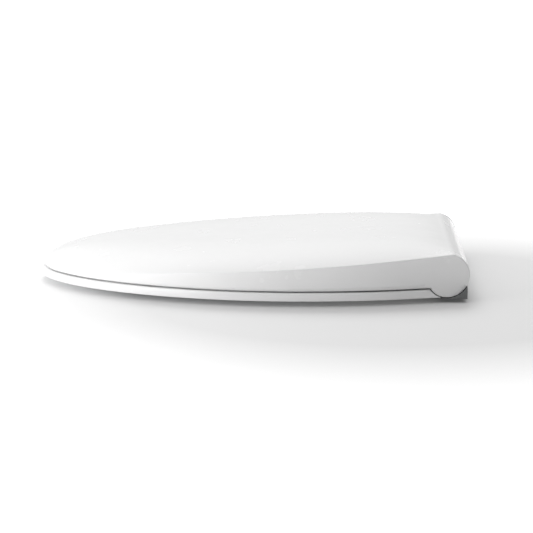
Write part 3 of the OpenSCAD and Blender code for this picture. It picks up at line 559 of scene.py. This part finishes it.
def dome_row(y):
    """Half of a row across the top, from the side's edge over the crease to the centre line."""
    w, r = side_half(y), crease_radius(y)
    edge, crest = crease_z(y), crest_z(y)
    row = []
    for i in range(FILLET_STEPS):
        a = quarter(i, FILLET_STEPS)
        row.append((w - r * (1 - math.cos(a)), y, edge - r + r * math.sin(a)))
    for i in range(ACROSS + 1):
        s = math.sin(quarter(ACROSS - i, ACROSS))
        row.append(((w - r) * s, y, edge + (max(crest, edge) - edge) * crown_share(s, y)))
    return row


def barrel_row(angle):
    """Half of a row across the barrel at an angle back from the top."""
    r, back, up = ROUND_EDGE, math.sin(angle), math.cos(angle)
    row = []
    for i in range(FILLET_STEPS):
        t = quarter(i, FILLET_STEPS)
        radius = BARREL_R - r + r * math.sin(t)
        y = HINGE.y + radius * back
        row.append((side_half(y) - r * (1 - math.cos(t)), y, HINGE.z + radius * up))
    inner = side_half(HINGE.y + BARREL_R * back) - r
    stops = [inner - step for step in EDGE_STOPS]
    count = ACROSS - len(stops) + 1
    stops += [stops[-1] * math.cos(quarter(i, count)) for i in range(1, count + 1)]
    return row + [(x, HINGE.y + BARREL_R * back, HINGE.z + BARREL_R * up) for x in stops]


def held_out(row, low):
    """A round end's row with its inner part drawn out to a given x, where it clears the seat's knuckle."""
    outer, end = row[FILLET_STEPS][0], row[-1][0]
    k = (outer - low) / (outer - end) if end < low else 1
    return [(outer - (outer - x) * k, y, z) if x < outer else (x, y, z) for x, y, z in row]


def full_row(half):
    return [(-x, y, z) for x, y, z in half] + half[-2::-1]


def lid_rows():
    """Places along the lid from the nose to where its top runs onto the barrel, closest at the nose."""
    ys = [WIDE_Y - (WIDE_Y - TIP_Y) * math.cos(quarter(i + 0.25, NOSE_ROWS)) for i in range(NOSE_ROWS)]
    ys += [WIDE_Y + (JOIN_Y - WIDE_Y) * i / MIDDLE_ROWS for i in range(MIDDLE_ROWS + 1)]
    return ys + [JOIN_Y + (TANGENT_Y - JOIN_Y) * i / REAR_ROWS for i in range(1, REAR_ROWS + 1)]


def between(a, b, count):
    """Places from just after a up to b."""
    return [a + (b - a) * i / count for i in range(1, count + 1)]


def side_strip(ys, top):
    """Columns of points down the lid's side, in front of the round end."""
    strip = []
    for y, row in zip(ys, top):
        if y <= JOIN_Y + TINY:
            rise = row[0][2] - LID_EDGE_Z
            heights = [LID_EDGE_Z + rise * i / SIDE_STEPS for i in range(SIDE_STEPS + 1)]
            strip.append([(side_half(y), y, z) for z in heights])
    return strip


def round_end(ys, top, strip):
    """The round end as a star of rings about the hinge axis, and the rows of its rounded lower edge."""
    angles = [SKIN_END] + between(SKIN_END, EDGE_END, EDGE_ROWS)
    edge_rows = [barrel_row(a)[:FILLET_STEPS + 4] for a in angles]
    edge_rows[1:] = [held_out(row, DISC_INNER_X) for row in edge_rows[1:]]
    rim = [p[1:] for p in strip[-1]]
    rim += [row[0][1:] for row in top[len(strip):] + edge_rows[1:]]
    rim += bezier(rim[-1], HOOK_CORNER, HOOK_END, HOOK_STEPS)[1:]
    rim.append(rim[0])
    rings = []
    for k in STAR_SHARES:
        spots = [(HINGE.y + (y - HINGE.y) * k, HINGE.z + (z - HINGE.z) * k) for y, z in rim]
        rings.append([(side_half(y), y, z) for y, z in spots])
    return rings, edge_rows


def lid_mesh():
    """The whole lid: its top and barrel, the closed nose, and both sides with their round ends."""
    verts, faces = [], []
    ys = lid_rows()
    top = [dome_row(y) for y in ys] + [barrel_row(a) for a in between(TANGENT, SKIN_END, BARREL_ROWS)]
    strip = side_strip(ys, top)
    rings, edge_rows = round_end(ys, top, strip)

    def add_grid(rows, flip=1):
        start = len(verts)
        for row in rows:
            verts.extend((flip * x, y, z) for x, y, z in row)
        faces.extend(grid_faces(len(rows), len(rows[0]), start))

    add_grid([full_row(row) for row in top])
    tip, last = len(verts), len(full_row(top[0])) - 1
    corner = half_width(ys[0])
    verts.extend([(0, TIP_Y, LID_EDGE_Z), (corner, ys[0], LID_EDGE_Z), (-corner, ys[0], LID_EDGE_Z)])
    faces.extend((tip, j, j + 1) for j in range(last))
    faces.extend([(tip, last, tip + 1), (tip, 0, tip + 2)])
    for flip in (1, -1):
        add_grid(strip, flip)
        add_grid(rings, flip)
        centre, around = len(verts), len(rings[-1])
        verts.append((flip * side_half(HINGE.y), HINGE.y, HINGE.z))
        faces.extend((centre, centre - around + j, centre - around + j + 1) for j in range(around - 1))
        add_grid(edge_rows, flip)
    piece = mesh_object("lid_cover", verts, faces, "white_gloss", "lid", 50)
    wall = piece.modifiers.new("wall", "SOLIDIFY")
    wall.thickness = LID_WALL
    wall.offset = -1
    wall.use_even_offset = False
    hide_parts("lid_shell", "lid_end_disc_left", "lid_end_disc_right")


# ------------------------------------------------------------------ the seat ring with its arms

RING_REAR_Y = RING_HIGH.y
ARM_INNER_X = 142 * MM
ARM_SHARES = (0.25, 0.5, 0.75)
ARM_STEPS = 14
ARM_END_STEPS = 6
ARM_CLEARANCE = 1.2 * MM
SEAT_LOW_Z = RING_LOW.z
SEAT_EDGE_Z = SEAT_LOW_Z + 10 * MM
INNER_EDGE_Z = SEAT_EDGE_Z - 1.5 * MM
SEAT_CROWN = 14 * MM
SEAT_RIM = 4 * MM
SEAT_SKIN = 2.6 * MM
SWELL_POWER = 1.2
OPENING_Y = -266 * MM
OPENING_HALF = (98 * MM, 118 * MM)
OPENING_POWER = 2.2
EDGE_STEPS = (0.0, 0.25 * MM, 0.8 * MM, 1.6 * MM, 2.8 * MM)
WALL_EDGE = 3.2 * MM
EDGE_R = 2.0 * MM
SIDE_ROWS = 56
REAR_SHARE = 0.18
BRIDGE_ROWS = 22
RING_SHARES = (0.06, 0.12, 0.2, 0.28, 0.36, 0.44, 0.52, 0.6, 0.68, 0.76, 0.84, 0.9, 0.95)


def rounding(d, r):
    """How far a rounded edge has dropped at a distance d inside it."""
    return r - math.sqrt(max(0.0, r * r - (r - d) ** 2)) if d < r else 0.0


def opening_point(x, y):
    """The point on the soft oval of the opening in the direction of a point on the outline."""
    a, n = math.atan2(y - OPENING_Y, x), OPENING_POWER
    r = (abs(math.cos(a) / OPENING_HALF[0]) ** n + abs(math.sin(a) / OPENING_HALF[1]) ** n) ** (-1 / n)
    return Vector((r * math.cos(a), OPENING_Y + r * math.sin(a)))


def arm_stations():
    """Places across an arm: distances in from each edge, and shares of the middle between them."""
    stations = [("outer", d) for d in EDGE_STEPS] + [("share", s) for s in ARM_SHARES]
    return stations + [("inner", d) for d in reversed(EDGE_STEPS)]


def arm_half(y):
    return half_width(y, SEAT_TIP_Y) if y < WIDE_Y else side_half(y)


def arm_x(station, y):
    kind, value = station
    w = arm_half(y)
    if kind == "outer":
        return w - value
    if kind == "inner":
        return ARM_INNER_X + value
    outer, inner = w - EDGE_STEPS[-1], ARM_INNER_X + EDGE_STEPS[-1]
    return outer + (inner - outer) * value


def seat_top(f, length, open_edge):
    """Height of the seat's top at a share f of the way from the outline to the opening."""
    swell = clamp((f * length - SEAT_RIM) / (length - SEAT_RIM))
    z = SEAT_EDGE_Z + (INNER_EDGE_Z - SEAT_EDGE_Z) * f + SEAT_CROWN * math.sin(math.pi * swell) ** SWELL_POWER
    if not open_edge:
        z -= rounding(f * length, EDGE_R)
    return z - rounding((1 - f) * length, EDGE_R)


def ring_loop():
    """The ring's outline: along one side to the nose, back along the other, and across the rear edge."""
    side = []
    for i in range(SIDE_ROWS + 1):
        t = i / SIDE_ROWS
        if t < REAR_SHARE:
            y = RING_REAR_Y + (WIDE_Y - RING_REAR_Y) * t / REAR_SHARE
        else:
            y = WIDE_Y - (WIDE_Y - SEAT_TIP_Y) * math.sin(quarter(t - REAR_SHARE, 1 - REAR_SHARE))
        side.append((half_width(y, SEAT_TIP_Y), y))
    arm = [(arm_x(s, RING_REAR_Y), RING_REAR_Y) for s in arm_stations()]
    bridge = [(ARM_INNER_X - 2 * ARM_INNER_X * i / BRIDGE_ROWS, RING_REAR_Y) for i in range(1, BRIDGE_ROWS)]
    return [(-x, y) for x, y in side] + side[-2::-1] + arm[1:] + bridge + [(-x, y) for x, y in arm[:0:-1]]


def ring_row(x, y):
    """Points (x, y, top, underside) from the outline in to the opening, hollow below between the walls."""
    o, q = Vector((x, y)), opening_point(x, y)
    length = (q - o).length
    on_arm = ARM_INNER_X - TINY < abs(x) < half_width(y, SEAT_TIP_Y) - TINY
    open_edge = abs(y - RING_REAR_Y) < TINY and on_arm
    steps = [d / length for d in EDGE_STEPS] + [WALL_EDGE / length, WALL_EDGE / length + 1e-4]
    shares = [*steps, *RING_SHARES, *(1 - f for f in reversed(steps))]
    row = []
    for i, f in enumerate(shares):
        p = o + (q - o) * f
        hollow = len(EDGE_STEPS) < i < len(shares) - len(EDGE_STEPS) - 1
        row.append((p.x, p.y, seat_top(f, length, open_edge), SEAT_LOW_Z + (SEAT_SKIN if hollow else 0)))
    return row


def seat_mesh():
    """The comfort ring and both arms as one moulding, open inside where the arms join the ring."""
    loop = ring_loop()
    rows = [ring_row(x, y) for x, y in loop]
    verts, faces = [], []
    n, cols = len(rows), len(rows[0])
    for row in rows:
        verts.extend((x, y, z) for x, y, z, low in row)
        verts.extend((x, y, low) for x, y, z, low in row)
    joins = [abs(y - RING_REAR_Y) < TINY and abs(x) >= ARM_INNER_X - TINY for x, y in loop]
    for k in range(n):
        a, b = k * 2 * cols, ((k + 1) % n) * 2 * cols
        for j in range(cols - 1):
            faces.append((a + j, b + j, b + j + 1, a + j + 1))
            faces.append((a + cols + j, b + cols + j, b + cols + j + 1, a + cols + j + 1))
        if not (joins[k] and joins[(k + 1) % n]):
            faces.append((a, a + cols, b + cols, b))
        e = cols - 1
        faces.append((a + e, a + cols + e, b + cols + e, b + e))
    for flip in (1, -1):
        add_arm(verts, faces, flip)
    piece = mesh_object("seat_ring", verts, faces, "white_gloss", "seat", 38)
    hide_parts("seat_top_shell", "seat_arm_left", "seat_arm_right")


def arm_end(z):
    """Where the arm stops in front of the barrel's round end."""
    return HINGE.y - math.sqrt((BARREL_R + ARM_CLEARANCE) ** 2 - (HINGE.z - z) ** 2)


def add_arm(verts, faces, flip):
    """One arm from the ring's rear edge to its hollow end in front of the barrel."""
    stations = arm_stations()
    start, cols = len(verts), len(stations)
    for step in range(ARM_STEPS + 1):
        top_y = RING_REAR_Y + (arm_end(SEAT_EDGE_Z) - RING_REAR_Y) * step / ARM_STEPS
        low_y = RING_REAR_Y + (arm_end(SEAT_LOW_Z) - RING_REAR_Y) * step / ARM_STEPS
        for s in stations:
            x = arm_x(s, top_y)
            d = min(arm_half(top_y) - x, x - ARM_INNER_X)
            verts.append((flip * x, top_y, SEAT_EDGE_Z - rounding(max(0.0, d), EDGE_R)))
            verts.append((flip * arm_x(s, low_y), low_y, SEAT_LOW_Z))

    def at(i, j, low):
        return start + 2 * (i * cols + j) + low

    for i in range(ARM_STEPS):
        for j in range(cols - 1):
            for low in (0, 1):
                faces.append((at(i, j, low), at(i + 1, j, low), at(i + 1, j + 1, low), at(i, j + 1, low)))
        if i < ARM_STEPS - 1:
            for j in (0, cols - 1):
                faces.append((at(i, j, 0), at(i, j, 1), at(i + 1, j, 1), at(i + 1, j, 0)))
    columns = []
    for j, s in enumerate(stations):
        column = [at(ARM_STEPS, j, 0)]
        top_z = verts[column[0]][2]
        for k in range(1, ARM_END_STEPS):
            z = top_z + (SEAT_LOW_Z - top_z) * k / ARM_END_STEPS
            column.append(len(verts))
            verts.append((flip * arm_x(s, arm_end(z)), arm_end(z), z))
        columns.append(column + [at(ARM_STEPS, j, 1)])
    for a, b in zip(columns, columns[1:]):
        faces.extend((a[k], a[k + 1], b[k + 1], b[k]) for k in range(ARM_END_STEPS))
    for j in (0, cols - 1):
        faces.append((at(ARM_STEPS - 1, j, 0), *columns[j], at(ARM_STEPS - 1, j, 1)))


# ------------------------------------------------------------------ turned and extruded pieces

TURN_STEPS = 72
THREAD_STEPS = 96
THREAD_ROWS = 8
THREAD_LENGTH = 12 * MM
THREAD_R = 10.48 * MM
THREAD_PITCH = 1.814 * MM
THREAD_DEPTH = 0.6 * THREAD_PITCH
THREAD_CHAMFER = (0.9 * MM, 1.2 * MM)
FLANGE_EDGE = 0.4
INLET_TAIL = ((14, 8.7), (17, 8.7), (17.4, 8.3), (17.4, 4.2), (17.9, 3.6), (22.2, 3.6), (22.5, 3.3),
              (22.5, 2.65), (16, 2.65), (16, 7), (0.3, 7), (0, 7.3))

HUB_X = (BARREL_HALF - 9.1 * MM, BARREL_HALF - 6.3 * MM)
HUB_EDGE = 0.5 * MM
HUB_FLARE = 2.5 * MM
HUB_ROOT = 0.3 * MM

KNUCKLE_X = (137 * MM, 147.5 * MM)
KNUCKLE_R = 20 * MM
KNUCKLE_EDGE = ((0.0, 1.0), (0.3, 0.35), (1.0, 0.0))
LINK_LOW = ((-34, 3), (-20, 2.9), (-6, 2.8))
LINK_LOW_BENDS = ((8, 2.8), (9.5, 9.5))
LINK_TOP_BEND = (0.6, 18)
LINK_TOP = ((-34, 12), (-34, 9), (-34, 6))
EYE_SPAN = (-105, 165)

PIPE_R, PIPE_BORE = 2.6 * MM, 1.7 * MM
CABLE_R = 2.2 * MM
BEND = 5 * MM
BEND_STEPS = 7
TUBE_STEPS = 24
SUPPLY_ROUTE = ((-170.9, 18.5, 29), (-92, 18.5, 29), (-92, -5.5, 28), (-116, -5.5, 28),
                (-116, -5.5, 18), (-116, -19.9, 18))
CABLE_ROUTE = ((-169.2, 36.5, 13.5), (-169.2, 26.4, 28), (-88, 26.4, 28), (-62, 32, 12.5), (92, 32, 12.5),
               (92, 8, 30), (92, -8, 30), (104, -24, 24), (104, -24, 15.7))


def circle(x, radius, yz, around):
    """Points of a circle about an axis along X."""
    angles = [2 * math.pi * k / around for k in range(around)]
    return [(x, yz[0] + radius * math.cos(a), yz[1] + radius * math.sin(a)) for a in angles]


def arc_steps(centre, radius, start, end):
    """Five points of a small rounding in a turned profile."""
    angles = [math.radians(start + (end - start) * i / 4) for i in range(5)]
    return [(centre[0] + radius * math.cos(a), centre[1] + radius * math.sin(a)) for a in angles]


def hub(name, flip, bore, outer):
    """Boss inside the lid's round end, flared into the wall that it stands on."""
    x0, x1 = HUB_X
    profile = arc_steps((x0 + HUB_EDGE, bore + HUB_EDGE), HUB_EDGE, 270, 180)
    profile += arc_steps((x0 + HUB_EDGE, outer - HUB_EDGE), HUB_EDGE, 180, 90)
    flare = [math.radians(a) for a in (0, 22, 45, 67, 90)]
    profile += [(x1 - HUB_FLARE * (1 - math.sin(a)), outer + HUB_FLARE * (1 - math.cos(a))) for a in flare]
    profile += [(x1 + HUB_ROOT, outer + HUB_FLARE), (x1 + HUB_ROOT, bore)]
    verts, faces = [], []
    for i, (x, radius) in enumerate(profile):
        verts.extend(circle(flip * x, radius, (HINGE.y, HINGE.z), TURN_STEPS))
        faces += ring_faces(i * TURN_STEPS, (i + 1) % len(profile) * TURN_STEPS, TURN_STEPS)
    mesh_object(name, verts, faces, "white_gloss", "lid", EDGE_ANGLE)


def knuckle_outline():
    """Side view of the end of a seat arm, as (y, z) about the hinge axis."""
    def eye(angle):
        a = math.radians(angle)
        return (KNUCKLE_R * math.cos(a), KNUCKLE_R * math.sin(a))

    def about_hinge(point):
        return (point[0] * MM - HINGE.y, point[1] * MM - HINGE.z)

    first, last = EYE_SPAN
    bends = [about_hinge(p) for p in LINK_LOW_BENDS]
    top = [about_hinge(p) for p in LINK_TOP]
    outline = [about_hinge(p) for p in LINK_LOW] + bezier(bends[0], bends[1], eye(first), 8)
    outline += [eye(a) for a in range(first + 6, last, 6)]
    return outline + bezier(eye(last), about_hinge(LINK_TOP_BEND), top[0], 12) + top[1:]


def knuckle(name, flip, bore):
    """The end of a seat arm: an eye round the hinge with a link that sweeps down into the arm."""
    outline = knuckle_outline()
    n = len(outline)
    near, far = KNUCKLE_X
    layers = [(near + step * MM, inset * MM) for step, inset in KNUCKLE_EDGE]
    layers += [(far - step * MM, inset * MM) for step, inset in reversed(KNUCKLE_EDGE)]
    loops = [(x, [math.hypot(dy, dz) - inset for dy, dz in outline]) for x, inset in layers]
    loops += [(x, [bore] * n) for x in (far, near)]
    verts, faces = [], []
    for i, (x, radii) in enumerate(loops):
        for (dy, dz), radius in zip(outline, radii):
            k = radius / math.hypot(dy, dz)
            verts.append((flip * x, HINGE.y + dy * k, HINGE.z + dz * k))
        faces += ring_faces(i * n, (i + 1) % len(loops) * n, n)
    mesh_object(name, verts, faces, "white_gloss", "seat", 32)


def inlet_thread():
    """The water inlet: a thread cut as one helix, run out at both ends, and the rest of its body turned."""
    low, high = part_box("water_inlet")
    yz = ((low.y + high.y) / 2, (low.z + high.z) / 2)
    flange = (high.y - low.y) / 2 / MM
    tail = [(12.05, flange - FLANGE_EDGE), (12.4, flange), (13.6, flange), (14, flange - FLANGE_EDGE)]
    tail += INLET_TAIL
    around = THREAD_STEPS
    rows = int(THREAD_LENGTH / THREAD_PITCH * THREAD_ROWS) + 1
    verts, faces = [], []
    for i in range(rows + 1):
        along = THREAD_LENGTH * i / rows
        run_out = clamp(min(along, THREAD_LENGTH - along) / (0.9 * THREAD_PITCH))
        chamfer = THREAD_CHAMFER[0] * (1 - clamp(along / THREAD_CHAMFER[1]))
        for k, (x, y, z) in enumerate(circle(low.x + along, 1, (0, 0), around)):
            wave = abs(2 * ((along / THREAD_PITCH - k / around) % 1.0) - 1)
            cut = THREAD_DEPTH * clamp((wave - 0.12) / 0.76)
            radius = THREAD_R - max(cut * run_out, chamfer)
            verts.append((x, yz[0] + y * radius, yz[1] + z * radius))
    for x, radius in tail:
        verts.extend(circle(low.x + x * MM, radius * MM, yz, around))
    count = rows + 1 + len(tail)
    for i in range(count):
        faces += ring_faces(i * around, (i + 1) % count * around, around)
    piece = mesh_object("water_inlet_threaded", verts, faces, "brass", BODY["water_inlet"], 30)
    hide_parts("water_inlet")


def rounded_route(points):
    """The route with each corner turned into a curve."""
    route = [points[0]]
    for before, corner, after in zip(points, points[1:], points[2:]):
        back, on = before - corner, after - corner
        reach = min(BEND, 0.48 * back.length, 0.48 * on.length)
        ends = corner + back.normalized() * reach, corner + on.normalized() * reach
        route += [Vector(p) for p in bezier(ends[0], corner, ends[1], BEND_STEPS)]
    return route + [points[-1]]


def tube(name, node, points, radius, bore=None):
    """A pipe or a cable along a route with curved bends. It stands for its CAD node."""
    route = rounded_route([Vector(p) * MM for p in points])
    ahead = [(b - a).normalized() for a, b in zip(route, route[1:])]
    ahead = [ahead[0]] + [(a + b).normalized() for a, b in zip(ahead, ahead[1:])] + [ahead[-1]]
    side = ahead[0].cross(Vector((0, 0, 1))).normalized()
    turns = [2 * math.pi * k / TUBE_STEPS for k in range(TUBE_STEPS)]
    loops = []
    for p, along in zip(route, ahead):
        side = (side - along * side.dot(along)).normalized()
        up = along.cross(side)
        loops.append((p, [side * math.cos(a) + up * math.sin(a) for a in turns]))
    verts, faces = [], []
    last = (len(loops) - 1) * TUBE_STEPS
    for r in (radius, bore) if bore else (radius,):
        start = len(verts)
        for p, spokes in loops:
            verts.extend(p + spoke * r for spoke in spokes)
        for a in range(start, start + last, TUBE_STEPS):
            faces += ring_faces(a, a + TUBE_STEPS, TUBE_STEPS)
    for end in (0, last):
        if bore:
            faces += ring_faces(end, last + TUBE_STEPS + end, TUBE_STEPS)
        else:
            faces.append(tuple(range(end, end + TUBE_STEPS)))
    piece = mesh_object(name, verts, faces, SLOT[node], BODY[node], 40)
    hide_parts(node)


# ------------------------------------------------------------------ the other pieces, with softened edges

SOFT_EDGES = {
    "inlet_housing": 1.4, "hinge_cradle": 0.8, "base_lower_casing": 0.6, "base_upper_cover": 0.5,
    "seat_bottom_plate": 0.4, "lid_bumpers": 0.7, "seat_bumpers": 0.6, "power_button": 0.7,
    "release_button": 0.15, "mounting_plate": 0.5, "mounting_bolts": 0.35, "mounting_washers": 0.15,
    "expansion_bushes": 0.5, "cone_nuts": 0.3, "cord_gland": 0.5, "solenoid_valve": 0.6,
    "water_heater": 0.5, "diverter_body": 0.5, "diverter_motor": 0.6, "nozzle_guide": 0.4,
    "rear_nozzle_motor": 0.4, "front_nozzle_motor": 0.4, "blower_housing": 0.6, "blower_motor": 0.5,
    "dryer_duct": 0.4, "dryer_flap": 0.3, "deodorizer_housing": 0.6, "carbon_filter": 0.3,
    "lid_damper": 0.6, "seat_damper": 0.6, "receiver_window": 0.2, "hinge_tube": 0.3,
    "lid_damper_sleeve": 0.2, "seat_damper_shaft": 0.4, "rear_nozzle_tip": 0.25, "front_nozzle_tip": 0.25,
    "power_board": 0.3, "control_board": 0.25, "blower_impeller": 0.2, "deodorizer_fan": 0.25,
}

# ------------------------------------------------------------------ build

add_camera()
add_world()
add_lights()
add_floor()
for name, node in NODES.items():
    node.data.materials.clear()
    node.data.materials.append(MATERIAL[SLOT[name]])
lid_mesh()
hub("lid_hub_left", 1, SHAFT_R + RUNNING, 10 * MM)
hub("lid_hub_right", -1, SLEEVE_R, SLEEVE_R + 3.5 * MM)
seat_mesh()
knuckle("seat_knuckle_left", 1, SHAFT_R)
knuckle("seat_knuckle_right", -1, SLEEVE_R + RUNNING)
inlet_thread()
tube("supply_pipe_bent", "supply_pipe", SUPPLY_ROUTE, PIPE_R, PIPE_BORE)
tube("power_cable_bent", "power_cable", CABLE_ROUTE, CABLE_R)
for node, width in SOFT_EDGES.items():
    soften(node, width * MM)
SCENE.view_settings.view_transform = "Standard"
